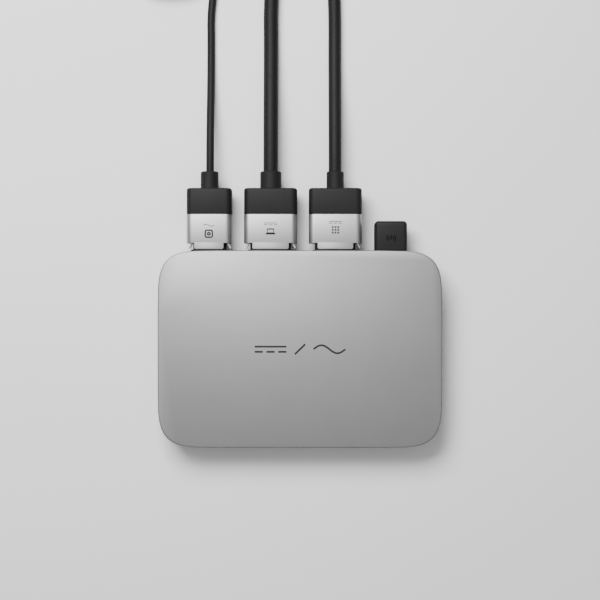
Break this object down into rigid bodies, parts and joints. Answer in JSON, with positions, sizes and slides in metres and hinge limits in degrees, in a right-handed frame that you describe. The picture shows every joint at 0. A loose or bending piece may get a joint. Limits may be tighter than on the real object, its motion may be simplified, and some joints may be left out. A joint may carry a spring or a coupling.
{
  "type": "micro inverter",
  "caption": "Flat rounded aluminium solar inverter box with three latched plugs and their coiled cords, an aerial cap, a finned back and bracket bosses.",
  "frame": {"origin": "middle of the housing's back, on the central land that it rests on", "axes": "+X along the housing's long side, +Y out of the side that holds the sockets, +Z out of the plain front face"},
  "size_m": [0.3186, 0.6458, 0.0569],
  "materials": {
    "housing_metal": "fine bead-blasted, clear anodised",
    "plug_metal": "satin anodised",
    "spring_steel": "bright rolled strip",
    "screw_steel": "satin",
    "black_plastic": "fine moulded grain",
    "plug_black": "soft matt moulding",
    "seal_rubber": "matt",
    "cord_black": "matt jacket",
    "light_pipe": "clear, slightly milky",
    "contact_alloy": "plated",
    "copper_winding": "enamelled wire",
    "circuit_board": "solder mask",
    "ferrite": "sintered",
    "film_capacitor": "moulded box",
    "component_black": "moulded box",
    "thermal_filler": "soft filled silicone",
    "shield_metal": "tinned sheet"
  },
  "bodies": {
    "housing": {"front_cover": "housing_metal", "rear_heatsink": "housing_metal", "cover_gasket": "seal_rubber", "antenna_cap": "black_plastic", "antenna_board": "circuit_board", "status_light": "light_pipe", "thermal_pad": "thermal_filler", "main_board": "circuit_board", "transformer_1": "ferrite", "transformer_2": "ferrite", "bus_capacitor": "film_capacitor", "output_choke": "copper_winding", "grid_relay": "component_black", "transistor_bar": "housing_metal", "wireless_module": "shield_metal", "case_screw_1": "screw_steel", "case_screw_2": "screw_steel", "case_screw_3": "screw_steel", "case_screw_4": "screw_steel", "case_screw_5": "screw_steel", "case_screw_6": "screw_steel", "ac_socket": "black_plastic", "ac_contacts": "contact_alloy", "battery_socket": "black_plastic", "battery_contacts": "contact_alloy", "solar_socket": "black_plastic", "solar_contacts": "contact_alloy"},
    "ac_plug": {"ac_plug_shell": "plug_metal", "ac_plug_nose": "black_plastic", "ac_plug_overmould": "plug_black", "ac_gland": "cord_black", "ac_cord": "cord_black", "ac_coil": "cord_black", "mains_plug": "plug_black"},
    "ac_latch_left": {"ac_latch_left": "spring_steel"},
    "ac_latch_right": {"ac_latch_right": "spring_steel"},
    "battery_plug": {"battery_plug_shell": "plug_metal", "battery_plug_nose": "black_plastic", "battery_plug_overmould": "plug_black", "battery_gland": "cord_black", "battery_cord": "cord_black", "battery_coil": "cord_black", "battery_connector": "plug_black"},
    "battery_latch_left": {"battery_latch_left": "spring_steel"},
    "battery_latch_right": {"battery_latch_right": "spring_steel"},
    "solar_plug": {"solar_plug_shell": "plug_metal", "solar_plug_nose": "black_plastic", "solar_plug_overmould": "plug_black", "solar_gland": "cord_black", "solar_cord": "cord_black", "solar_coil": "cord_black", "solar_splitter": "plug_black", "solar_lead_1": "cord_black", "solar_lead_2": "cord_black", "solar_connector_1": "plug_black", "solar_connector_2": "plug_black"},
    "solar_latch_left": {"solar_latch_left": "spring_steel"},
    "solar_latch_right": {"solar_latch_right": "spring_steel"},
    "pairing_button": {"pairing_button": "seal_rubber"}
  },
  "joints": [
    {"name": "ac_plug_slide", "type": "slide", "parent": "housing", "child": "ac_plug", "axis": [0, 1, 0], "range_m": [0, 0.016]},
    {"name": "ac_latch_left_press", "type": "hinge", "parent": "ac_plug", "child": "ac_latch_left", "pos_m": [-0.0924, 0.096, 0.0185], "axis": [0, 0, 1], "range_deg": [0, 7], "stiffness_Nm_per_rad": 0.15},
    {"name": "ac_latch_right_press", "type": "hinge", "parent": "ac_plug", "child": "ac_latch_right", "pos_m": [-0.062, 0.096, 0.0185], "axis": [0, 0, -1], "range_deg": [0, 7], "stiffness_Nm_per_rad": 0.15},
    {"name": "battery_plug_slide", "type": "slide", "parent": "housing", "child": "battery_plug", "axis": [0, 1, 0], "range_m": [0, 0.016]},
    {"name": "battery_latch_left_press", "type": "hinge", "parent": "battery_plug", "child": "battery_latch_left", "pos_m": [-0.0437, 0.096, 0.0185], "axis": [0, 0, 1], "range_deg": [0, 7], "stiffness_Nm_per_rad": 0.15},
    {"name": "battery_latch_right_press", "type": "hinge", "parent": "battery_plug", "child": "battery_latch_right", "pos_m": [-0.0065, 0.096, 0.0185], "axis": [0, 0, -1], "range_deg": [0, 7], "stiffness_Nm_per_rad": 0.15},
    {"name": "solar_plug_slide", "type": "slide", "parent": "housing", "child": "solar_plug", "axis": [0, 1, 0], "range_m": [0, 0.016]},
    {"name": "solar_latch_left_press", "type": "hinge", "parent": "solar_plug", "child": "solar_latch_left", "pos_m": [0.01165, 0.096, 0.0185], "axis": [0, 0, 1], "range_deg": [0, 7], "stiffness_Nm_per_rad": 0.15},
    {"name": "solar_latch_right_press", "type": "hinge", "parent": "solar_plug", "child": "solar_latch_right", "pos_m": [0.04855, 0.096, 0.0185], "axis": [0, 0, -1], "range_deg": [0, 7], "stiffness_Nm_per_rad": 0.15},
    {"name": "pairing_button_press", "type": "slide", "parent": "housing", "child": "pairing_button", "axis": [0, -1, 0], "range_m": [0, 0.001], "stiffness_N_per_m": 600}
  ]
}
